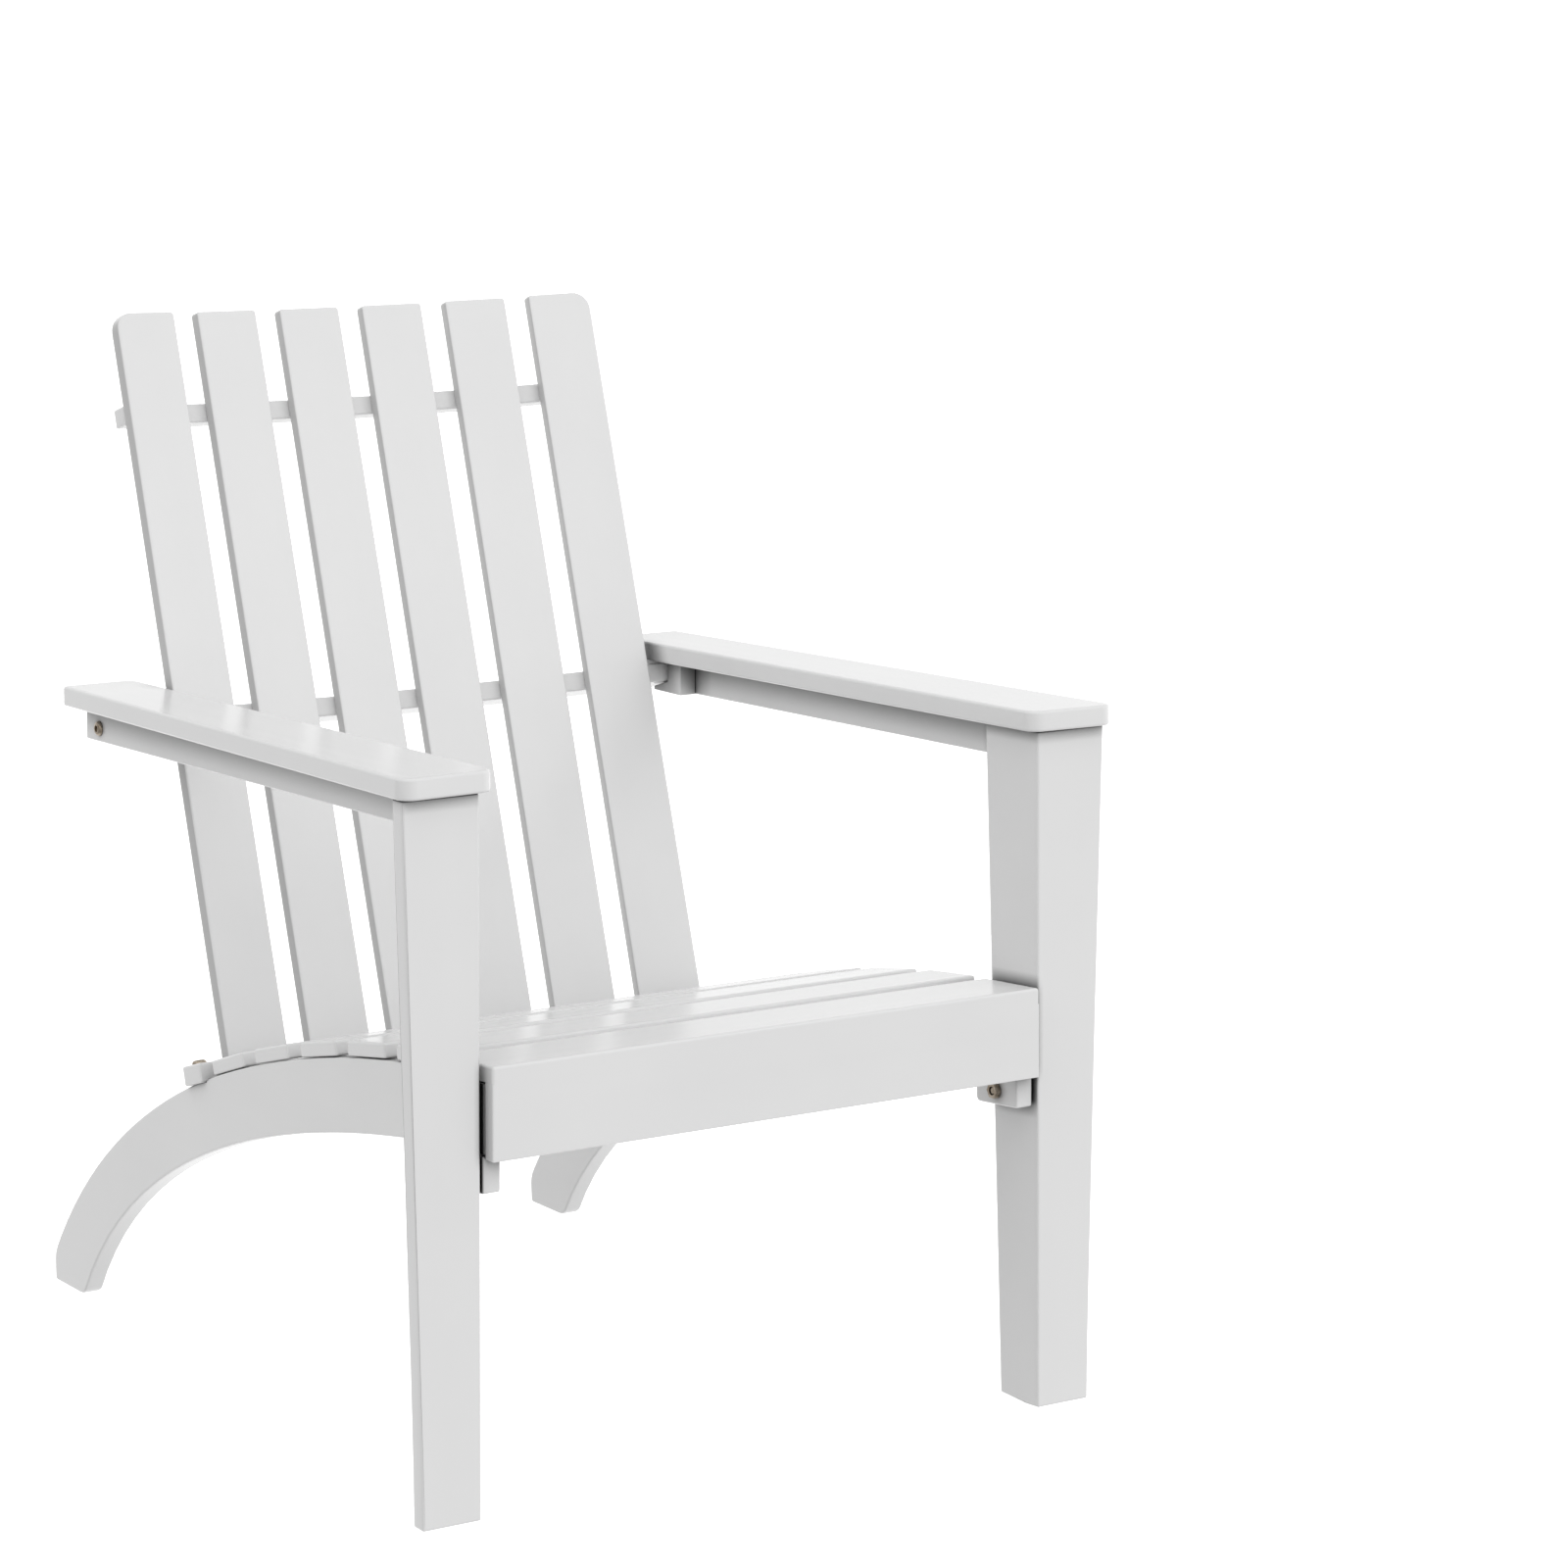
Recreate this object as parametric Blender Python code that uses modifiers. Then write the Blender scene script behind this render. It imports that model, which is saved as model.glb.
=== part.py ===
"""Adirondack chair, painted wood, built up from separate boards and bolts.

Lengths below are in millimetres and are turned into metres as each piece is made.
X runs across the chair, Y runs from the front (negative) to the back, Z is up.
Named heights and depths count Y from the front face of the front legs and Z from
the floor. Y_MID moves the finished chair so that the origin is at the centre of
its footprint.

Flat boards are outlines in a 2D curve, extruded to the board's thickness, stood up
by their rotation and given eased edges. Plain bars are boxes. Bolts are turned.
"""

import math

import bmesh
import bpy
from mathutils import Matrix, Vector

MM = 0.001

# ---- driving dimensions -------------------------------------------------
GAP = 0.3                # clearance left between two boards that touch
LEG_IN = 265.5           # inner edge of a front leg, from the centre plane
LEG_OUT_TOP = 333.5      # outer edge of the front board at the armrest
LEG_OUT_FOOT = 317.0     # outer edge of the front board at the floor
LEG_FLARE = 1.25         # above 1, the outer edge flares more near the armrest
LEG_STEPS = 12
FRONT_BOARD = 15.0       # thickness of the front board
SIDE_BOARD = 15.5        # thickness of the side board
SIDE_REAR_TOP = 70.0     # rear edge of the side board at the armrest
SIDE_REAR_FOOT = 50.0    # rear edge of the side board at the floor

ARM_UNDER = 556.0        # underside of the armrest above the front face
ARM_FALL = 0.022         # armrests fall this much per unit towards the back
ARM_THICK = 17.0
ARM_FRONT_IN, ARM_FRONT_OUT = -7.0, -11.0
ARM_REAR = 612.0
ARM_IN_FRONT, ARM_IN_REAR = 254.5, 249.5
ARM_OUT_FRONT, ARM_OUT_REAR = 338.5, 318.0
ARM_R_FRONT_IN, ARM_R_FRONT_OUT = 13.0, 13.0
ARM_R_REAR_OUT, ARM_R_REAR_IN = 5.0, 12.0

ARM_RAIL_THICK = 14.7
ARM_RAIL_HIGH = 30.0
ARM_RAIL_FRONT, ARM_RAIL_REAR = 16.2, 610.0
CLEAT_WIDE = 17.0        # little block inside the arm rail, at the end of the middle brace
CLEAT_FRONT, CLEAT_STEP = 523.5, 544.7
CLEAT_REAR, CLEAT_TOE = 567.0, 3.6

RAIL_OUT = 260.5         # outer face of a seat rail, 5 mm inside the side board
RAIL_THICK = 17.5
RAIL_FRONT = 3.1
# the rail's top edge: a shallow seat curve, then the sweep down to the rear foot
SEAT_A, SEAT_B = (3.1, 333.0), (218.2, 328.7)
SEAT_C, SEAT_D = (414.5, 259.7), (470.0, 236.9)
SWEEP_B, SWEEP_C, SWEEP_D = (584.1, 190.1), (690.1, 122.1), (753.2, 24.3)
RAIL_LOW_A, RAIL_LOW_B = (3.1, 277.7), (56.0, 275.3)
RAIL_LOW_C, RAIL_LOW_D = (564.0, 230.2), (693.6, 0.0)
FOOT_REAR = 751.5
FOOT_R_TIP, FOOT_R_REAR, FOOT_R_FRONT = 25.0, 3.0, 14.0
RAIL_STEPS = 16          # in each of the two top curves
RAIL_LOW_STEPS = 30

BLOCK_THICK = 16.0       # block under the front end of a seat rail
BLOCK_OUT = 262.0
BLOCK_REAR = 57.0
BLOCK_DEEP = 29.5

APRON_FRONT, APRON_REAR = -9.2, 2.8
APRON_LOW, APRON_TOP = 274.6, 334.0
SEAT_HALF = 260.0        # half length of a seat slat and of the apron
SEAT_THICK = 12.5
SEAT_FRONT_HIGH = 334.9  # where the front slat's underside would meet its front edge
SEAT_MIDS = (26.5, 105.6, 184.5, 262.5, 341.5, 417.5)
SEAT_WIDTHS = (71.0, 62.2, 61.0, 60.5, 58.5, 57.5)

RECLINE = math.radians(17.51)
BACK_Y = 390.0           # front face of the back, at the centre, carried to the floor
BACK_R = 1720.0          # radius of the hollow back, seen along the slats
SLAT_WIDE = 61.5
SLAT_THICK = 12.3
SLAT_LOW, SLAT_TOP = 226.0, 915.3
SLAT_MIDS = (42.1, 127.5, 212.7)       # from the centre outwards
SLAT_SPLAY = (0.003, 0.007, 0.0085)    # each one leans outwards a little more
SPLAY_FROM = 642.0
SLAT_R_OUTER = 16.0      # rounded top corner of the outermost slats
SLAT_R = 3.0

BRACE_FRONT = SLAT_THICK + 0.6         # behind the front face of the slats
BRACE_TOP = (817.2, 834.2, 245.5, 19.5)      # low, high, half length, depth
BRACE_MID = (548.4, 565.4, 281.0, 41.0)
BRACE_BOTTOM = (248.6, 265.2, 264.5, 32.0)
BRACE_STEPS = 20
BED_SPARE = 6.0          # the flat in the seat rail is this much longer than the brace is deep

BOLT_R, HOLE_R = 3.0, 3.6
HEAD_R, HEAD_HIGH = 6.4, 3.4
SOCKET_R, SOCKET_DEEP = 3.1, 2.2
NUT_R, NUT_HIGH = 6.5, 5.0
SPACER_R = 9.0
LEG_BOLTS = (("upper", 27.5, 315.5), ("middle", 46.0, 284.3), ("lower", 29.4, 258.0))
ARM_BOLTS = (("front", 27.1, 539.6), ("second", 54.5, 539.0))
ARM_REAR_BOLT = (584.0, 524.7)
BRACE_BOLT_X, BRACE_BOLT_D = 253.0, 20.0
ROUND = 24               # sides of a round part

Y_MID = (ARM_FRONT_OUT + SWEEP_D[0]) / 2 + 0.05

# ---- a clean scene, one collection for the chair and one for the cutters --
for old in list(bpy.data.objects):
    bpy.data.objects.remove(old, do_unlink=True)

chair = bpy.data.collections.new("adirondack_chair")
tools = bpy.data.collections.new("cutters")
tools.hide_render = True
bpy.context.scene.collection.children.link(chair)
bpy.context.scene.collection.children.link(tools)


def material(name, colour, roughness, metallic=0.0):
    made = bpy.data.materials.new(name)
    made.use_nodes = True
    shader = made.node_tree.nodes["Principled BSDF"]
    shader.inputs["Base Color"].default_value = (*colour, 1.0)
    shader.inputs["Roughness"].default_value = roughness
    shader.inputs["Metallic"].default_value = metallic
    made.diffuse_color = (*colour, 1.0)
    return made


PAINT = material("white_painted_wood", (0.83, 0.83, 0.82), 0.4)
ZINC = material("dark_zinc_steel", (0.36, 0.32, 0.28), 0.35, 1.0)


def at(x, y, z):
    """A place in the chair, from the centre plane, the leg's front face and the floor."""
    return Matrix.Translation(Vector((x, y - Y_MID, z)) * MM)


def turned(axis, angle):
    return Matrix.Rotation(angle, 4, axis)


QUARTER = math.pi / 2
ACROSS = turned("Z", QUARTER) @ turned("X", QUARTER)   # outline in Y and Z, thickness along X
FACING = turned("X", QUARTER)                          # outline in X and Z, thickness along Y
ALONG_BACK = turned("X", QUARTER - RECLINE)            # outline across and up the back
OVER_BACK = turned("X", -RECLINE)                      # outline across and through the back
FALL = math.atan(ARM_FALL)
ARM_SLOPE = turned("X", -FALL)


# ---- making pieces ------------------------------------------------------
def put(name, mesh, place, look=None, home=None):
    if look is not None:
        mesh.materials.append(look)
    made = bpy.data.objects.new(name, mesh)
    made.matrix_world = place
    (home or chair).objects.link(made)
    return made


def cutter(name, mesh, place):
    made = put(name, mesh, place, None, tools)
    made.hide_render = True
    made.display_type = "WIRE"
    return made


def board(name, outline, thick, place):
    """A flat board: the outline, in mm, extruded to its thickness about its own middle."""
    curve = bpy.data.curves.new(name, "CURVE")
    curve.dimensions = "2D"
    curve.fill_mode = "BOTH"
    curve.extrude = thick * MM / 2
    line = curve.splines.new("POLY")
    line.points.add(len(outline) - 1)
    for point, (p, q) in zip(line.points, outline):
        point.co = (p * MM, q * MM, 0.0, 1.0)
    line.use_cyclic_u = True
    guide = bpy.data.objects.new(name + "_outline", curve)
    chair.objects.link(guide)
    bpy.context.view_layer.update()
    graph = bpy.context.evaluated_depsgraph_get()
    mesh = bpy.data.meshes.new_from_object(guide.evaluated_get(graph))
    bpy.data.objects.remove(guide, do_unlink=True)
    mesh.name = name
    shape = bmesh.new()
    shape.from_mesh(mesh)
    bmesh.ops.remove_doubles(shape, verts=shape.verts, dist=1e-6)
    level = [
        edge
        for edge in shape.edges
        if len(edge.link_faces) == 2
        and all(abs(face.normal.z) > 0.999 for face in edge.link_faces)
    ]
    bmesh.ops.dissolve_edges(shape, edges=level, use_verts=False)
    bmesh.ops.recalc_face_normals(shape, faces=shape.faces)
    shape.to_mesh(mesh)
    shape.free()
    mesh.materials.clear()
    return put(name, mesh, place, PAINT)


def bar(name, size):
    """The mesh of a straight bar, size in mm, about its own middle."""
    shape = bmesh.new()
    bmesh.ops.create_cube(shape, size=1.0)
    bmesh.ops.scale(shape, vec=Vector(size) * MM, verts=shape.verts)
    mesh = bpy.data.meshes.new(name)
    shape.to_mesh(mesh)
    shape.free()
    return mesh


def box(name, size, place):
    return put(name, bar(name, size), place, PAINT)


def cylinder(name, radius, low, high, sides):
    """A round or hexagonal bar along local Z, from low to high in mm."""
    shape = bmesh.new()
    bmesh.ops.create_cone(
        shape,
        cap_ends=True,
        segments=sides,
        radius1=radius * MM,
        radius2=radius * MM,
        depth=(high - low) * MM,
        matrix=Matrix.Translation((0, 0, (low + high) / 2 * MM)),
    )
    mesh = bpy.data.meshes.new(name)
    shape.to_mesh(mesh)
    shape.free()
    return mesh


def ease(piece, size, segments=2):
    """Rounds over every sharp edge of a board."""
    soft = piece.modifiers.new("eased", "BEVEL")
    soft.width = size * MM
    soft.segments = segments
    soft.limit_method = "ANGLE"
    soft.angle_limit = math.radians(42)
    return piece


def drill(piece, tool):
    cut = piece.modifiers.new("hole", "BOOLEAN")
    cut.operation = "DIFFERENCE"
    cut.solver = "EXACT"
    cut.object = tool


def hole(name, pieces, place, low, high):
    """A bolt hole along local Z of place, through each of the pieces."""
    tool = cutter(name + "_hole", cylinder(name + "_hole", HOLE_R, low, high, 16), place)
    for piece in pieces:
        drill(piece, tool)


def bolt(name, place, length):
    """A turned bolt. The head stands on local +Z above z = 0, where it bears on the wood."""
    profile = (
        (0.0, HEAD_HIGH),
        (HEAD_R * 0.62, HEAD_HIGH),
        (HEAD_R * 0.84, HEAD_HIGH * 0.82),
        (HEAD_R * 0.97, HEAD_HIGH * 0.45),
        (HEAD_R, GAP + 0.4),
        (HEAD_R, GAP),
        (BOLT_R, GAP),
        (BOLT_R, -length + 0.6),
        (BOLT_R - 0.6, -length),
        (0.0, -length),
    )
    mesh = bpy.data.meshes.new(name)
    shape = bmesh.new()
    line = [shape.verts.new((radius * MM, 0.0, z * MM)) for radius, z in profile]
    for first, second in zip(line, line[1:]):
        shape.edges.new((first, second))
    shape.to_mesh(mesh)
    shape.free()
    made = put(name, mesh, place, ZINC)
    lathe = made.modifiers.new("turned", "SCREW")
    lathe.axis = "Z"
    lathe.angle = 2 * math.pi
    lathe.screw_offset = 0.0
    lathe.steps = lathe.render_steps = ROUND
    lathe.use_merge_vertices = True
    lathe.merge_threshold = 1e-5
    socket = cylinder(name + "_socket", SOCKET_R, HEAD_HIGH - SOCKET_DEEP, HEAD_HIGH + 2, 6)
    drill(made, cutter(name + "_socket", socket, place))
    return made


def sleeve(name, place, radius, low, high, sides):
    """A nut or a spacer: a bar with the bolt's hole through it."""
    made = put(name, cylinder(name, radius, low, high, sides), place, ZINC)
    drill(made, cutter(name + "_bore", cylinder(name + "_bore", HOLE_R, low - 2, high + 2, 16), place))
    return made


# ---- outlines -----------------------------------------------------------
def filleted(corners):
    """corners: (p, q, radius) in order. Each one with a radius becomes an arc."""
    out = []
    count = len(corners)
    for i, (p, q, radius) in enumerate(corners):
        here = Vector((p, q))
        if radius <= 0:
            out.append((p, q))
            continue
        back = (Vector(corners[i - 1][:2]) - here).normalized()
        on = (Vector(corners[(i + 1) % count][:2]) - here).normalized()
        half = back.angle(on) / 2
        reach = radius / math.tan(half)
        centre = here + (back + on).normalized() * (radius / math.sin(half))
        start = here + back * reach - centre
        turn = math.pi - 2 * half
        if start.x * (here.y - centre.y) - start.y * (here.x - centre.x) < 0:
            turn = -turn
        steps = max(3, round(abs(turn) * (radius ** 0.5) * 1.3))
        for k in range(steps + 1):
            a = turn * k / steps
            out.append(
                (
                    centre.x + start.x * math.cos(a) - start.y * math.sin(a),
                    centre.y + start.x * math.sin(a) + start.y * math.cos(a),
                )
            )
    return out


def bezier(a, b, c, d, t):
    s = 1 - t
    return tuple(
        s ** 3 * a[i] + 3 * s * s * t * b[i] + 3 * s * t * t * c[i] + t ** 3 * d[i]
        for i in (0, 1)
    )


def sampled(points, steps):
    return [bezier(*points, k / steps) for k in range(steps + 1)]


def on_curve(points, y):
    """(height, slope) of a curve above y."""
    low, high = 0.0, 1.0
    for _ in range(50):
        mid = (low + high) / 2
        if bezier(*points, mid)[0] < y:
            low = mid
        else:
            high = mid
    near, far = bezier(*points, low - 1e-3), bezier(*points, low + 1e-3)
    return bezier(*points, low)[1], (far[1] - near[1]) / (far[0] - near[0])


SEAT_LINE = (SEAT_A, SEAT_B, SEAT_C, SEAT_D)
SWEEP_LINE = (SEAT_D, SWEEP_B, SWEEP_C, SWEEP_D)
LOW_LINE = (RAIL_LOW_A, RAIL_LOW_B, RAIL_LOW_C, RAIL_LOW_D)


def under_arm(y):
    return ARM_UNDER - ARM_FALL * y


def back_point(x, s, d):
    """s runs up along the back, d runs out of its rear; both start at its front face."""
    return (
        x,
        BACK_Y + s * math.sin(RECLINE) + d * math.cos(RECLINE),
        s * math.cos(RECLINE) - d * math.sin(RECLINE),
    )


def arc_depth(x, behind):
    """Depth of an arc that lies `behind` the hollow front face."""
    radius = BACK_R + behind
    return math.sqrt(radius * radius - x * x) - BACK_R


# ---- the two sides ------------------------------------------------------
side_out = LEG_IN + SIDE_BOARD
arm_rail_in = side_out + GAP
arm_rail_out = arm_rail_in + ARM_RAIL_THICK

rails = {}
for tag, sign in (("L", -1), ("R", 1)):
    leg_top = under_arm(FRONT_BOARD) - GAP
    outer = [
        (LEG_OUT_FOOT + (LEG_OUT_TOP - LEG_OUT_FOOT) * (k / LEG_STEPS) ** LEG_FLARE, leg_top * k / LEG_STEPS)
        for k in range(LEG_STEPS + 1)
    ]
    outline = [(LEG_IN, 0.0)] + outer + [(LEG_IN, leg_top)]
    ease(
        board(
            "front_leg_board_" + tag,
            [(sign * p, q) for p, q in outline],
            FRONT_BOARD,
            at(0, FRONT_BOARD / 2, 0) @ FACING,
        ),
        1.8,
    )

    front = FRONT_BOARD + GAP
    side_board = ease(
        board(
            "side_leg_board_" + tag,
            [
                (front, 0.0),
                (SIDE_REAR_FOOT, 0.0),
                (SIDE_REAR_TOP, under_arm(SIDE_REAR_TOP) - GAP),
                (front, under_arm(front) - GAP),
            ],
            SIDE_BOARD,
            at(sign * (LEG_IN + SIDE_BOARD / 2), 0, 0) @ ACROSS,
        ),
        1.8,
    )

    ease(
        board(
            "armrest_" + tag,
            filleted(
                [
                    (sign * ARM_IN_FRONT, ARM_FRONT_IN / math.cos(FALL), ARM_R_FRONT_IN),
                    (sign * ARM_OUT_FRONT, ARM_FRONT_OUT / math.cos(FALL), ARM_R_FRONT_OUT),
                    (sign * ARM_OUT_REAR, ARM_REAR / math.cos(FALL), ARM_R_REAR_OUT),
                    (sign * ARM_IN_REAR, ARM_REAR / math.cos(FALL), ARM_R_REAR_IN),
                ]
            ),
            ARM_THICK,
            at(0, 0, ARM_UNDER) @ ARM_SLOPE @ Matrix.Translation((0, 0, ARM_THICK / 2 * MM)),
        ),
        2.4,
        3,
    )

    middle = (ARM_RAIL_FRONT + ARM_RAIL_REAR) / 2
    arm_rail = ease(
        box(
            "arm_rail_" + tag,
            (ARM_RAIL_THICK, (ARM_RAIL_REAR - ARM_RAIL_FRONT) / math.cos(FALL), ARM_RAIL_HIGH - GAP),
            at(sign * (arm_rail_in + ARM_RAIL_THICK / 2), middle, under_arm(middle) - GAP - ARM_RAIL_HIGH / 2)
            @ ARM_SLOPE,
        ),
        1.5,
    )

    low = under_arm(CLEAT_FRONT) - ARM_RAIL_HIGH
    brace_low = Vector(back_point(0, BRACE_MID[0] - 0.8, 0)[1:])
    lean = math.tan(RECLINE)
    ease(
        board(
            "arm_cleat_" + tag,
            [
                (CLEAT_FRONT, low),
                (CLEAT_REAR, low),
                (CLEAT_REAR, low + CLEAT_TOE),
                (CLEAT_STEP, brace_low.y - (CLEAT_STEP - brace_low.x) * lean - 0.4),
                (CLEAT_STEP, under_arm(CLEAT_STEP) - GAP),
                (CLEAT_FRONT, under_arm(CLEAT_FRONT) - GAP),
            ],
            CLEAT_WIDE,
            at(sign * (side_out - CLEAT_WIDE / 2), 0, 0) @ ACROSS,
        ),
        1.0,
    )

    upper = sampled(SEAT_LINE, RAIL_STEPS) + sampled(SWEEP_LINE, RAIL_STEPS)[1:-1]
    lower = sampled(LOW_LINE, RAIL_LOW_STEPS)[:-1]
    seat_rail = ease(
        board(
            "seat_rail_" + tag,
            filleted(
                [(p, q, 0) for p, q in upper]
                + [
                    (*SWEEP_D, FOOT_R_TIP),
                    (FOOT_REAR, 0.0, FOOT_R_REAR),
                    (*RAIL_LOW_D, FOOT_R_FRONT),
                ]
                + [(p, q, 0) for p, q in lower[::-1]]
            ),
            RAIL_THICK,
            at(sign * (RAIL_OUT - RAIL_THICK / 2), 0, 0) @ ACROSS,
        ),
        1.8,
    )
    rails[tag] = seat_rail

    low_front, _ = on_curve(LOW_LINE, RAIL_FRONT + 1)
    low_rear, _ = on_curve(LOW_LINE, BLOCK_REAR)
    block = ease(
        board(
            "rail_block_" + tag,
            filleted(
                [
                    (RAIL_FRONT, low_front - BLOCK_DEEP, 2),
                    (BLOCK_REAR, low_rear - BLOCK_DEEP, 4),
                    (BLOCK_REAR, low_rear - GAP - 0.3, 0),
                    (RAIL_FRONT, low_front - GAP - 0.1, 0),
                ]
            ),
            BLOCK_THICK,
            at(sign * (BLOCK_OUT - BLOCK_THICK / 2), 0, 0) @ ACROSS,
        ),
        1.5,
    )

    # bolts through the side board, a spacer, then the seat rail or the block under it
    outward = turned("Y", sign * QUARTER)
    for where, y, z in LEG_BOLTS:
        name = "leg_" + where + "_" + tag
        if where == "lower":
            inner, near, far = block, BLOCK_OUT, BLOCK_OUT - BLOCK_THICK
        else:
            inner, near, far = seat_rail, RAIL_OUT, RAIL_OUT - RAIL_THICK
        start = at(sign * side_out, y, z) @ outward
        reach = side_out - far + GAP + NUT_HIGH
        hole(name, (side_board, inner), start, -reach - 5, 5)
        bolt("bolt_" + name, start, reach - 1.0)
        sleeve("spacer_" + name, start, SPACER_R, -(side_out - near - GAP), -(SIDE_BOARD + GAP), 20)
        sleeve("nut_" + name, start, NUT_R, -reach, -(side_out - far + GAP), 6)

    # bolts through the arm rail into the side board
    for where, y, z in ARM_BOLTS:
        name = "arm_" + where + "_" + tag
        start = at(sign * arm_rail_out, y, z) @ outward
        hole(name, (arm_rail, side_board), start, -ARM_RAIL_THICK - 12.5, 5)
        bolt("bolt_" + name, start, ARM_RAIL_THICK + 11.5)

# ---- seat ---------------------------------------------------------------
ease(
    box(
        "apron",
        (2 * SEAT_HALF, APRON_REAR - APRON_FRONT, APRON_TOP - APRON_LOW),
        at(0, (APRON_FRONT + APRON_REAR) / 2, (APRON_LOW + APRON_TOP) / 2),
    ),
    1.2,
)

for index, (mid, wide) in enumerate(zip(SEAT_MIDS, SEAT_WIDTHS)):
    height, slope = on_curve(SEAT_LINE, mid)
    if index == 0:
        # the front slat also lies on top of the apron
        front_high = SEAT_FRONT_HIGH
        rear_high = on_curve(SEAT_LINE, mid + wide / 2)[0]
        slope = (rear_high - front_high) / wide
        height = front_high + slope * (wide / 2) + 0.1
    tilt = turned("X", math.atan(slope))
    lift = Matrix.Translation((0, 0, (GAP + 0.1 + SEAT_THICK / 2) * MM))
    ease(
        box(
            "seat_slat_%d" % (index + 1),
            (2 * SEAT_HALF, wide, SEAT_THICK),
            at(0, mid, height) @ tilt @ lift,
        ),
        2.2,
        3,
    )

# ---- back ---------------------------------------------------------------
number = 0
for sign in (-1, 1):
    order = (2, 1, 0) if sign < 0 else (0, 1, 2)
    for place_in in order:
        number += 1
        x_mid, splay = SLAT_MIDS[place_in], SLAT_SPLAY[place_in]
        twist = math.asin(x_mid / BACK_R)
        half = SLAT_WIDE / 2
        corner = SLAT_R_OUTER if place_in == 2 else SLAT_R
        outline = filleted(
            [
                (-half, SLAT_LOW - SPLAY_FROM, SLAT_R),
                (half, SLAT_LOW - SPLAY_FROM, SLAT_R),
                (half, SLAT_TOP - SPLAY_FROM, corner),
                (-half, SLAT_TOP - SPLAY_FROM, SLAT_R),
            ]
        )
        centre = back_point(sign * x_mid, SPLAY_FROM, arc_depth(x_mid, 0.0))
        ease(
            board(
                "back_slat_%d" % number,
                [(sign * p, q) for p, q in outline],
                SLAT_THICK,
                at(*centre)
                @ ALONG_BACK
                @ turned("Z", -sign * math.atan(splay))
                @ turned("Y", -sign * twist)
                @ Matrix.Translation((0, 0, -SLAT_THICK / 2 * MM)),
            ),
            2.0,
        )

braces = {}
for name, (low, high, half, deep) in (
    ("top", BRACE_TOP),
    ("middle", BRACE_MID),
    ("bottom", BRACE_BOTTOM),
):
    xs = [half * (2 * k / BRACE_STEPS - 1) for k in range(BRACE_STEPS + 1)]
    front = [(x, arc_depth(x, BRACE_FRONT)) for x in xs]
    behind = [(x, arc_depth(x, BRACE_FRONT + deep)) for x in xs]
    braces[name] = ease(
        board(
            "back_brace_" + name,
            front + behind[::-1],
            high - low,
            at(*back_point(0, (low + high) / 2, 0)) @ OVER_BACK,
        ),
        1.8,
    )

for tag, sign in (("L", -1), ("R", 1)):
    # rear bolt of the arm rail, into the end of the middle brace
    y, z = ARM_REAR_BOLT
    start = at(sign * arm_rail_out, y, z) @ turned("Y", sign * QUARTER)
    hole("arm_rear_" + tag, (bpy.data.objects["arm_rail_" + tag], braces["middle"]), start, -ARM_RAIL_THICK - 31, 5)
    bolt("bolt_arm_rear_" + tag, start, ARM_RAIL_THICK + 30)

    # a shallow flat in the top of the seat rail, where the bottom brace lies on it
    low, high, _, deep = BRACE_BOTTOM
    bed = cutter(
        "brace_bed_" + tag,
        bar("brace_bed_" + tag, (3 * RAIL_THICK, deep + BED_SPARE, 20.0)),
        at(*back_point(sign * RAIL_OUT, low - GAP + 10.0, arc_depth(RAIL_OUT, BRACE_FRONT) + deep / 2)) @ OVER_BACK,
    )
    drill(rails[tag], bed)

    # bolt down through the bottom brace into the seat rail
    start = at(*back_point(sign * BRACE_BOLT_X, high, BRACE_BOLT_D + arc_depth(BRACE_BOLT_X, BRACE_FRONT))) @ OVER_BACK
    hole("brace_" + tag, (braces["bottom"], rails[tag]), start, -(high - low) - 26, 5)
    bolt("bolt_brace_" + tag, start, high - low + 25)
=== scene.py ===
"""The adirondack chair's look: painted boards, zinc bolts and screws, on a pale floor.

Lengths in the tables are millimetres. Y counts from the front face of the front legs
and Z from the floor, as the boards were drawn; mm() turns a place into metres in the
chair's own frame.
"""

import math

import bmesh
import bpy
from mathutils import Matrix, Vector


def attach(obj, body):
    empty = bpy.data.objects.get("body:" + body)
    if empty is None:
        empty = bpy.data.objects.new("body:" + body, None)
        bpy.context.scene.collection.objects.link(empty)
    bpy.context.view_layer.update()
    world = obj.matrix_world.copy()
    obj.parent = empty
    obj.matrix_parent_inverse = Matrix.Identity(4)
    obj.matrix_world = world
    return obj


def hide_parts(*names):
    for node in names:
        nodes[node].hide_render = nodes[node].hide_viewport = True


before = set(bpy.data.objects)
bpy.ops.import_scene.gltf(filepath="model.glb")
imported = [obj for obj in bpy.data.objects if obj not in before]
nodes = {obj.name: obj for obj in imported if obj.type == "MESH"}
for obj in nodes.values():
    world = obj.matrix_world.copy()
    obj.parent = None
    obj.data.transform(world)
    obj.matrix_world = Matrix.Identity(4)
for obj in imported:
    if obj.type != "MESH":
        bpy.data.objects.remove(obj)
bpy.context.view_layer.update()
scene = bpy.context.scene

Y_MID = 371.15
RECLINE = math.radians(17.51)
BACK_Y, BACK_R = 390.0, 1720.0


def mm(x, y, z):
    return Vector((x, y - Y_MID, z)) / 1000


def back_point(x, s, d):
    """s runs up along the back, d runs out of its rear."""
    return mm(
        x,
        BACK_Y + s * math.sin(RECLINE) + d * math.cos(RECLINE),
        s * math.cos(RECLINE) - d * math.sin(RECLINE),
    )


# ---------------------------------------------------------------- materials
def blank(name):
    made = bpy.data.materials.new(name)
    made.use_nodes = True
    tree = made.node_tree
    return made, tree, tree.nodes["Principled BSDF"]


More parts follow.
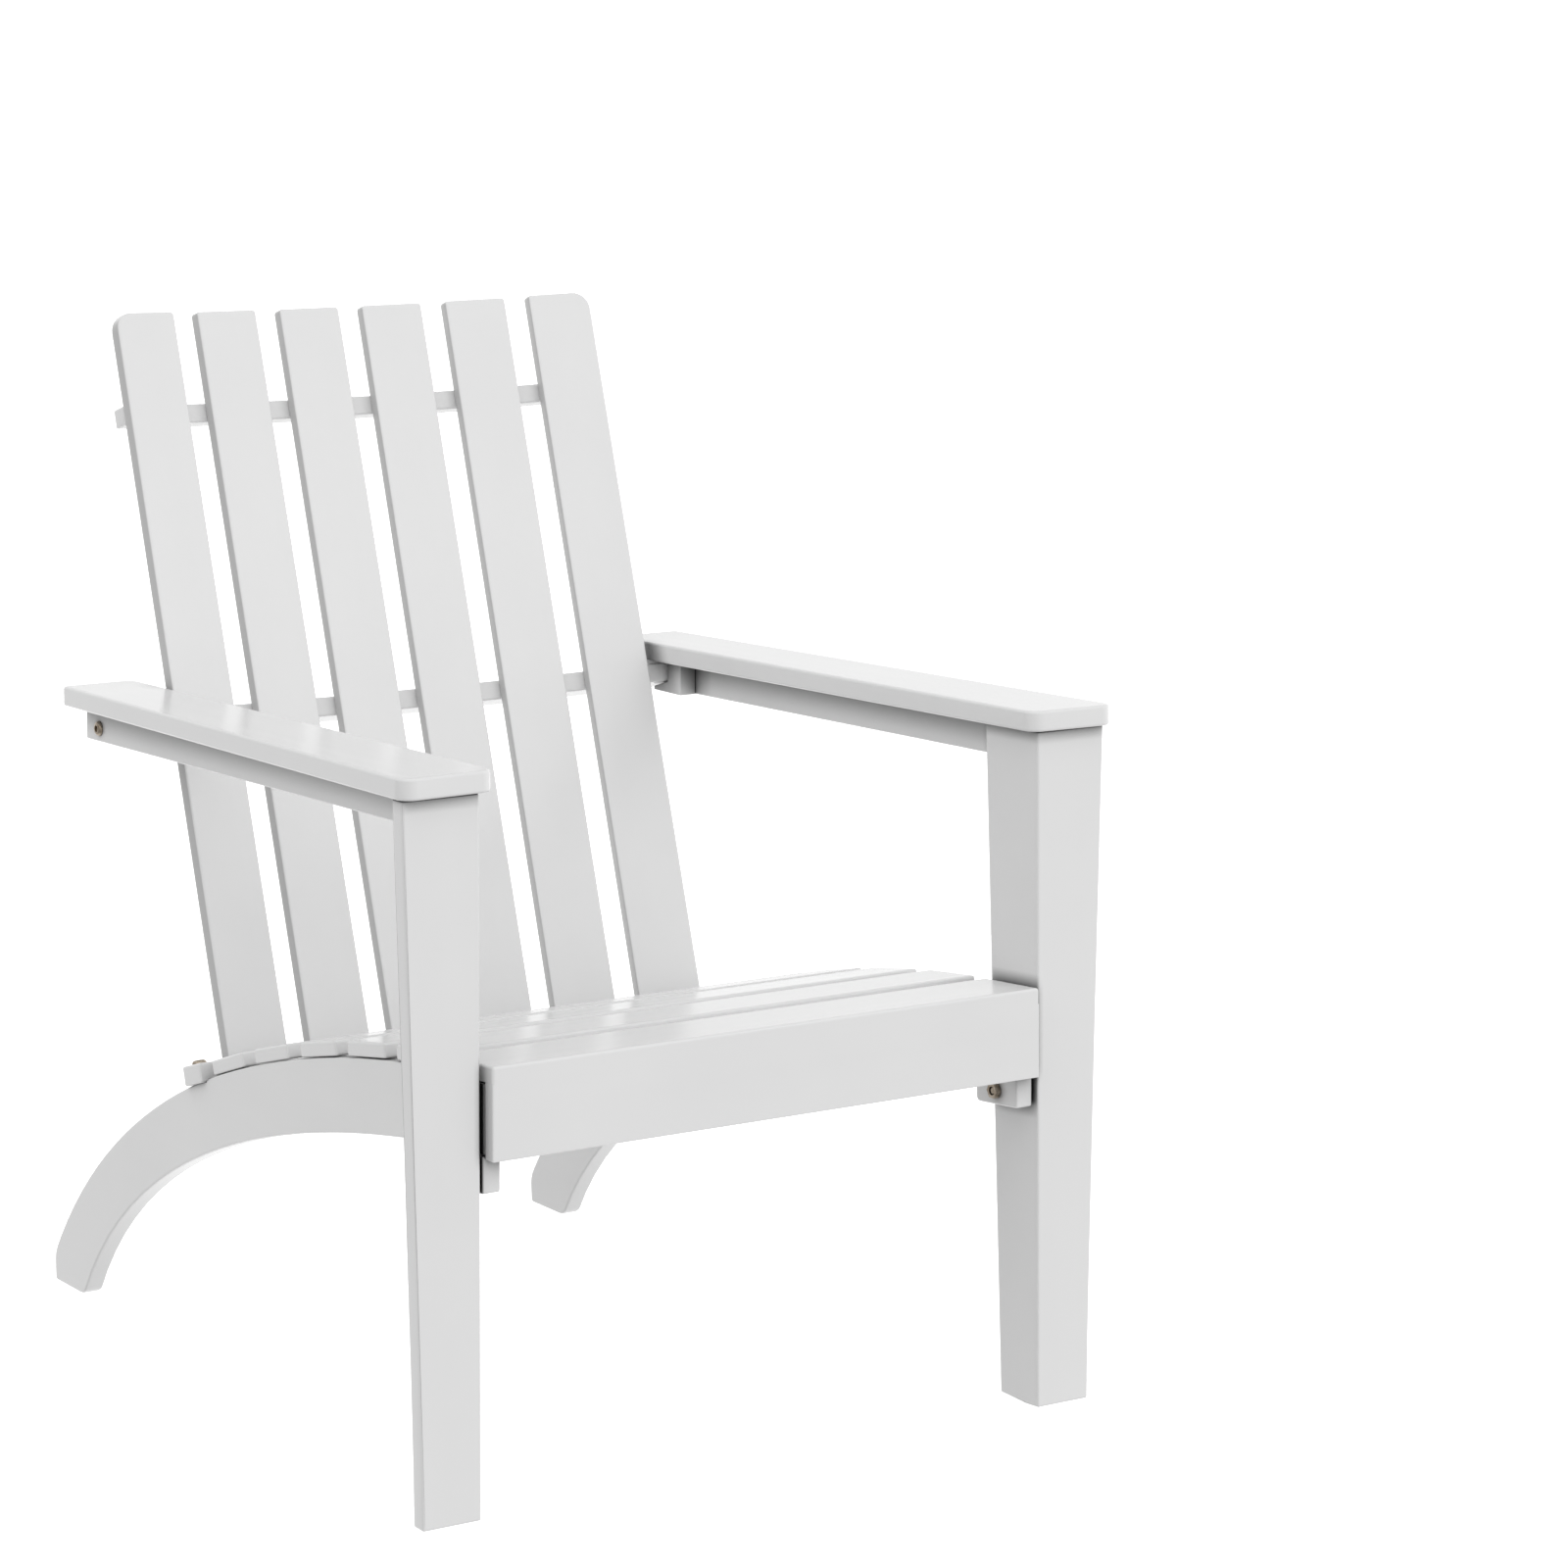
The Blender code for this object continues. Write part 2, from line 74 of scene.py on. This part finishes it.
def stretched(tree, lean, scale):
    """Object coordinates, leaned about X, then squeezed so that a noise runs along one axis."""
    coords = tree.nodes.new("ShaderNodeTexCoord")
    turn = tree.nodes.new("ShaderNodeMapping")
    turn.inputs["Rotation"].default_value = (lean, 0, 0)
    tree.links.new(coords.outputs["Object"], turn.inputs["Vector"])
    squeeze = tree.nodes.new("ShaderNodeMapping")
    squeeze.inputs["Scale"].default_value = scale
    tree.links.new(turn.outputs["Vector"], squeeze.inputs["Vector"])
    return squeeze.outputs["Vector"]


def noise(tree, vector, scale, detail, rough=0.55):
    made = tree.nodes.new("ShaderNodeTexNoise")
    made.inputs["Scale"].default_value = scale
    made.inputs["Detail"].default_value = detail
    made.inputs["Roughness"].default_value = rough
    tree.links.new(vector, made.inputs["Vector"])
    return made.outputs["Fac"]


def ranged(tree, value, low, high):
    made = tree.nodes.new("ShaderNodeMapRange")
    made.inputs["From Min"].default_value = 0.3
    made.inputs["From Max"].default_value = 0.7
    made.inputs["To Min"].default_value = low
    made.inputs["To Max"].default_value = high
    tree.links.new(value, made.inputs["Value"])
    return made.outputs["Result"]


def ramp(tree, value, stops):
    made = tree.nodes.new("ShaderNodeValToRGB")
    band = made.color_ramp
    band.elements[0].position, band.elements[0].color = stops[0][0], (*stops[0][1], 1)
    band.elements[1].position, band.elements[1].color = stops[-1][0], (*stops[-1][1], 1)
    for place, colour in stops[1:-1]:
        band.elements.new(place).color = (*colour, 1)
    tree.links.new(value, made.inputs["Fac"])
    return made.outputs["Color"]


def bump(tree, height, distance, before=None):
    made = tree.nodes.new("ShaderNodeBump")
    made.inputs["Strength"].default_value = 1.0
    made.inputs["Distance"].default_value = distance
    tree.links.new(height, made.inputs["Height"])
    if before is not None:
        tree.links.new(before, made.inputs["Normal"])
    return made.outputs["Normal"]


def deepened(tree, colour, reach, depth):
    """Shade in the inner corners, such as under the arms, deeper than the soft light gives alone."""
    corner = tree.nodes.new("ShaderNodeAmbientOcclusion")
    corner.samples = 12
    corner.inputs["Distance"].default_value = reach
    power = tree.nodes.new("ShaderNodeMath")
    power.operation = "POWER"
    power.inputs[1].default_value = depth
    tree.links.new(corner.outputs["AO"], power.inputs[0])
    darker = tree.nodes.new("ShaderNodeVectorMath")
    darker.operation = "SCALE"
    tree.links.new(colour, darker.inputs[0])
    tree.links.new(power.outputs["Value"], darker.inputs["Scale"])
    return darker.outputs["Vector"]


def painted_slat_side_shade(tree, colour):
    """Painted shade: the narrow left and right edges of the slats, which face sideways, are darkened in colour so
    they stand darker than their faces.
    """
    facing = tree.nodes.new("ShaderNodeSeparateXYZ")
    tree.links.new(tree.nodes.new("ShaderNodeNewGeometry").outputs["Normal"], facing.inputs[0])
    sideways = tree.nodes.new("ShaderNodeMath")
    sideways.operation = "ABSOLUTE"
    tree.links.new(facing.outputs["X"], sideways.inputs[0])
    amount = tree.nodes.new("ShaderNodeMapRange")
    for socket, number in (("From Min", 0.72), ("From Max", 0.93), ("To Min", 1.0), ("To Max", 0.71)):
        amount.inputs[socket].default_value = number
    tree.links.new(sideways.outputs["Value"], amount.inputs["Value"])
    darker = tree.nodes.new("ShaderNodeVectorMath")
    darker.operation = "SCALE"
    tree.links.new(colour, darker.inputs[0])
    tree.links.new(amount.outputs["Result"], darker.inputs["Scale"])
    return darker.outputs["Vector"]


def white_paint(name, lean, scale, reach, depth):
    """Satin white paint: faint brush lines and covered grain along the board, a little mottling."""
    made, tree, shader = blank(name)
    lines = noise(tree, stretched(tree, lean, scale), 1.0, 5.0)
    grain = noise(tree, stretched(tree, lean, tuple(v * 0.33 for v in scale)), 1.0, 2.0)
    cloud = noise(tree, stretched(tree, 0, (1, 1, 1)), 7.0, 3.0)
    peel = noise(tree, stretched(tree, 0, (1, 1, 1)), 420.0, 1.0)
    tone = ramp(
        tree,
        cloud,
        ((0.3, (0.722, 0.722, 0.723)), (0.5, (0.732, 0.732, 0.732)), (0.72, (0.742, 0.742, 0.741))),
    )
    streak = ramp(tree, grain, ((0.25, (0.988, 0.988, 0.988)), (0.75, (1.0, 1.0, 1.0))))
    mix = tree.nodes.new("ShaderNodeMix")
    mix.data_type = "RGBA"
    mix.blend_type = "MULTIPLY"
    mix.inputs["Factor"].default_value = 1.0
    tree.links.new(tone, mix.inputs["A"])
    tree.links.new(streak, mix.inputs["B"])
    colour = mix.outputs["Result"]
    if lean:
        # painted shade on the slats' sideways faces
        colour = painted_slat_side_shade(tree, colour)
    if depth:
        colour = deepened(tree, colour, reach, depth)
    tree.links.new(colour, shader.inputs["Base Color"])
    tree.links.new(ranged(tree, grain, 0.17, 0.22), shader.inputs["Roughness"])
    shader.inputs["Specular IOR Level"].default_value = 0.5
    first = bump(tree, lines, 0.000008)
    second = bump(tree, grain, 0.00004, first)
    third = bump(tree, peel, 0.000005, second)
    tree.links.new(third, shader.inputs["Normal"])
    return made


def zinc_steel(name, dark, light, rough):
    """Yellowed zinc plate: cloudy tone, fine scratches."""
    made, tree, shader = blank(name)
    cloud = noise(tree, stretched(tree, 0, (1, 1, 1)), 260.0, 3.0)
    scratch = noise(tree, stretched(tree, 0.4, (900, 60, 900)), 1.0, 2.0)
    tree.links.new(ramp(tree, cloud, ((0.3, dark), (0.72, light))), shader.inputs["Base Color"])
    tree.links.new(ranged(tree, cloud, rough - 0.08, rough + 0.1), shader.inputs["Roughness"])
    shader.inputs["Metallic"].default_value = 1.0
    tree.links.new(bump(tree, scratch, 0.00002), shader.inputs["Normal"])
    return made


fine = 95.0
paints = {
    "x": white_paint("white_paint_across", 0, (2.2, fine, fine), 0, 0),
    "y": white_paint("white_paint_front_to_back", 0, (fine, 2.2, fine), 0.026, 1.8),
    "z": white_paint("white_paint_upright", 0, (fine, fine, 2.2), 0.012, 2.0),
    "back": white_paint("white_paint_reclined", RECLINE, (fine, fine, 2.2), 0, 0),
}
zinc = zinc_steel("zinc_bolts", (0.24, 0.19, 0.14), (0.52, 0.46, 0.38), 0.34)
screw_zinc = zinc_steel("zinc_screws", (0.20, 0.19, 0.18), (0.42, 0.40, 0.37), 0.4)


def grain_of(name):
    if name.startswith(("seat_slat", "apron", "back_brace")):
        return "x"
    if name.startswith("back_slat"):
        return "back"
    if name.startswith(("front_leg", "side_leg")):
        return "z"
    return "y"


# ---------------------------------------------------------------- boards and bolts
def finished(name, mesh, stands_for, look):
    """Puts the mesh in the chair, for the CAD nodes it stands for."""
    mesh.materials.clear()
    mesh.materials.append(look)
    made = bpy.data.objects.new(name, mesh)
    scene.collection.objects.link(made)
    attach(made, "root")
    if stands_for:
        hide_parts(*stands_for)
    return made


def softened(mesh, angle):
    """Smooth across the eased edges, flat over the faces of the board."""
    shape = bmesh.new()
    shape.from_mesh(mesh)
    bmesh.ops.remove_doubles(shape, verts=shape.verts, dist=2e-6)
    bmesh.ops.dissolve_limit(
        shape, angle_limit=math.radians(0.4), verts=shape.verts, edges=shape.edges
    )
    for face in shape.faces:
        face.smooth = True
    shape.to_mesh(mesh)
    shape.free()
    mesh.set_sharp_from_angle(angle=math.radians(angle))


LEG_IN, SIDE_BOARD, EASED = 0.2655, 0.0155, 0.0026
LEG_JOINT = max((nodes["front_leg_board_L"].matrix_world @ v.co).y for v in nodes["front_leg_board_L"].data.vertices)


def closed_joint(name, mesh):
    """The two boards of a leg are glued, filled and painted over: their joint doesn't show."""
    shape = bmesh.new()
    shape.from_mesh(mesh)
    walls = (LEG_IN, LEG_IN + SIDE_BOARD) if name.startswith("side_leg") else (LEG_IN,)
    for vert in shape.verts:
        if abs(vert.co.y - LEG_JOINT) > EASED + 0.0004:
            continue
        if name.startswith("side_leg"):
            vert.co.y = LEG_JOINT
        for wall in walls:
            if abs(abs(vert.co.x) - wall) < EASED:
                vert.co.x = math.copysign(wall, vert.co.x)
                vert.co.y = LEG_JOINT
    bmesh.ops.remove_doubles(shape, verts=shape.verts, dist=2e-6)
    bmesh.ops.dissolve_degenerate(shape, dist=1e-6, edges=shape.edges)
    shape.to_mesh(mesh)
    shape.free()


def weigh(obj):
    even = obj.modifiers.new("even_faces", "WEIGHTED_NORMAL")
    even.mode = "FACE_AREA"
    even.weight = 80
    even.keep_sharp = True


SEAMLESS = ("apron", "seat_slat_1")
for name, obj in nodes.items():
    if name in SEAMLESS:
        continue
    metal = name.startswith(("bolt", "nut", "spacer"))
    mesh = obj.data.copy()
    mesh.name = name + "_look"
    if name.startswith(("front_leg_board", "side_leg_board")):
        closed_joint(name, mesh)
    softened(mesh, 35 if metal else 50)
    if name.startswith(("front_leg_board", "side_leg_board")):
        corner = [
            abs(abs(vert.co.x) - LEG_IN) < 1e-5 and abs(vert.co.y - LEG_JOINT) < 1e-5
            for vert in mesh.vertices
        ]
        for edge in mesh.edges:
            if all(corner[index] for index in edge.vertices):
                edge.use_edge_sharp = True
    look = zinc if metal else paints[grain_of(name)]
    piece = finished(name + "_look", mesh, [name], look)
    weigh(piece)


def eased_prism(name, corners, half, hard, size, segments):
    """A board across the chair from its four (y, z) corners. Edges listed in hard stay sharp."""
    shape = bmesh.new()
    bmesh.ops.create_cube(shape, size=1.0)
    which = {(-1, -1): 0, (1, -1): 1, (1, 1): 2, (-1, 1): 3}
    along = {}
    for vert in shape.verts:
        side, index = math.copysign(1, vert.co.x), which[round(2 * vert.co.y), round(2 * vert.co.z)]
        y, z = corners[index]
        vert.co = mm(side * half, y, z)
        along[vert] = index
    soft = [
        edge
        for edge in shape.edges
        if not (
            along[edge.verts[0]] == along[edge.verts[1]] and along[edge.verts[0]] in hard
        )
        and not (
            along[edge.verts[0]] != along[edge.verts[1]]
            and {along[edge.verts[0]], along[edge.verts[1]]} <= set(hard)
        )
    ]
    bmesh.ops.bevel(
        shape, geom=soft, offset=size / 1000, segments=segments, profile=0.5, affect="EDGES"
    )
    for face in shape.faces:
        face.smooth = True
    mesh = bpy.data.meshes.new(name)
    shape.to_mesh(mesh)
    shape.free()
    mesh.set_sharp_from_angle(angle=math.radians(50))
    return mesh


# The front slat lies on the apron, and their front faces are flush, filled and painted over.
JOINT_Z, FRONT_Y = 334.9, -9.2
apron = finished(
    "apron_look",
    eased_prism(
        "apron_look",
        ((FRONT_Y, 274.6), (2.8, 274.6), (2.8, JOINT_Z - 0.9), (FRONT_Y, JOINT_Z)),
        260.0,
        (2, 3),
        1.2,
        2,
    ),
    ["apron"],
    paints["x"],
)
weigh(apron)
front_slat = finished(
    "seat_slat_1_look",
    eased_prism(
        "seat_slat_1_look",
        ((FRONT_Y, JOINT_Z), (62.0, 330.3), (62.4, 342.8), (FRONT_Y, 347.9)),
        260.0,
        (0, 1),
        2.4,
        4,
    ),
    ["seat_slat_1"],
    paints["x"],
)
weigh(front_slat)


# ---------------------------------------------------------------- screws in the rear of the braces
def screw_heads(name, places):
    """Countersunk heads with a cross recess, each flush in the wood. places: (point, outward, up)."""
    shape = bmesh.new()
    for point, outward, up in places:
        side = up.cross(outward).normalized()
        place = Matrix((side, outward.cross(side), outward)).transposed().to_4x4()
        place.translation = point
        bmesh.ops.create_cone(
            shape, cap_ends=True, segments=20, radius1=0.0035, radius2=0.0030, depth=0.0009,
            matrix=place @ Matrix.Translation((0, 0, 0.0001)),
        )
        for turn in (0, math.pi / 2):
            bmesh.ops.create_cube(
                shape,
                size=1.0,
                matrix=place
                @ Matrix.Rotation(turn + math.pi / 4, 4, "Z")
                @ Matrix.Translation((0, 0, 0.00058))
                @ Matrix.Diagonal((0.0040, 0.0008, 0.0001, 1)),
            )
    mesh = bpy.data.meshes.new(name)
    shape.to_mesh(mesh)
    shape.free()
    return finished(name, mesh, None, screw_zinc)


SLATS = ((42.1, 0.003), (127.5, 0.007), (212.7, 0.0085))
up_back = Vector((0, math.sin(RECLINE), math.cos(RECLINE)))
for brace, low, high, deep in (
    ("top", 817.2, 834.2, 19.5),
    ("middle", 548.4, 565.4, 41.0),
    ("bottom", 248.6, 265.2, 32.0),
):
    places = []
    s = (low + high) / 2
    for sign in (-1, 1):
        for middle, splay in SLATS:
            for off in (-15.8, 15.8):
                x = sign * (middle + splay * (s - 642.0)) + off
                radius = BACK_R + 12.9 + deep
                d = math.sqrt(radius * radius - x * x) - BACK_R
                across = math.asin(x / radius)
                outward = Vector(
                    (
                        math.sin(across),
                        math.cos(across) * math.cos(RECLINE),
                        -math.cos(across) * math.sin(RECLINE),
                    )
                )
                places.append((back_point(x, s, d), outward, up_back))
    screw_heads("screws_" + brace, places)

# ---------------------------------------------------------------- studio
floor_mesh = bpy.data.meshes.new("floor")
floor_mesh.from_pydata(
    [(-400, -400, 0), (400, -400, 0), (400, 400, 0), (-400, 400, 0)], [], [(0, 1, 2, 3)]
)
floor = bpy.data.objects.new("floor", floor_mesh)
scene.collection.objects.link(floor)
pale, pale_tree, pale_shader = blank("pale_floor")
pale_shader.inputs["Base Color"].default_value = (0.9, 0.9, 0.9, 1)
pale_shader.inputs["Roughness"].default_value = 1.0
pale_shader.inputs["Specular IOR Level"].default_value = 0.0
pale_shader.inputs["Emission Color"].default_value = (1, 1, 1, 1)
pale_shader.inputs["Emission Strength"].default_value = 0.7
floor_mesh.materials.append(pale)
floor.visible_diffuse = False
floor.visible_glossy = False
floor.visible_shadow = False

# A soft white room, as broad soft lights: bearing from straight in front of the chair towards
# its right in the view from the front, height above the floor (both degrees), and strength.
SOFTNESS = 5.0
ROOM = [
    (0, 90, 0.24),
    (0, -90, 0.41),
    (0, 3, 0.57),
    (-55, 3, 0.18),
    (-110, 3, 0.14),
    (180, 3, 0.84),
    (110, 3, 1.27),
    (55, 3, 0.80),
    (0, 42, 0.96),
    (-72, 42, 1.10),
    (-144, 42, 0.57),
    (144, 42, 0.07),
    (72, 42, 0.27),
    (0, -42, 0.30),
    (-90, -42, 0.26),
    (180, -42, 1.24),
    (90, -42, 0.76),
]
world = bpy.data.worlds.new("studio")
world.use_nodes = True
tree = world.node_tree
sky = tree.nodes["Background"]
where = tree.nodes.new("ShaderNodeTexCoord").outputs["Generated"]


def step(operation, first, second):
    made = tree.nodes.new("ShaderNodeMath")
    made.operation = operation
    tree.links.new(first, made.inputs[0])
    if isinstance(second, (int, float)):
        made.inputs[1].default_value = second
    elif second is not None:
        tree.links.new(second, made.inputs[1])
    return made.outputs["Value"]


glow = None
for bearing, height, strength in ROOM:
    around, above = math.radians(bearing), math.radians(height)
    facing = tree.nodes.new("ShaderNodeVectorMath")
    facing.operation = "DOT_PRODUCT"
    facing.inputs[1].default_value = (
        math.sin(around) * math.cos(above),
        -math.cos(around) * math.cos(above),
        math.sin(above),
    )
    tree.links.new(where, facing.inputs[0])
    lobe = step("SUBTRACT", facing.outputs["Value"], 1.0)
    lobe = step("EXPONENT", step("MULTIPLY", lobe, SOFTNESS), None)
    lobe = step("MULTIPLY", lobe, strength)
    glow = lobe if glow is None else step("ADD", glow, lobe)
tree.links.new(glow, sky.inputs["Strength"])
sky.inputs["Color"].default_value = (1, 1, 1, 1)
scene.world = world
scene.view_settings.view_transform = "Standard"

# ---------------------------------------------------------------- camera
camera_data = bpy.data.cameras.new("camera")
camera_data.sensor_width = 36
camera_data.lens = 105.29
camera_data.shift_x = 0.2306
camera_data.shift_y = -0.4361
camera_data.clip_end = 2000
camera = bpy.data.objects.new("camera", camera_data)
scene.collection.objects.link(camera)
back = Vector((-0.50537, -0.86246, 0.02771)).normalized()
roll = math.radians(-0.215)
right = Vector((0.86279, -0.50556, 0)).normalized()
up = back.cross(right)
side = right * math.cos(roll) + up * math.sin(roll)
top = up * math.cos(roll) - right * math.sin(roll)
turn = Matrix((side, top, back)).transposed().to_4x4()
camera.matrix_world = Matrix.Translation((-2.0453, -2.9562 - Y_MID / 1000, 1.1749)) @ turn
scene.camera = camera
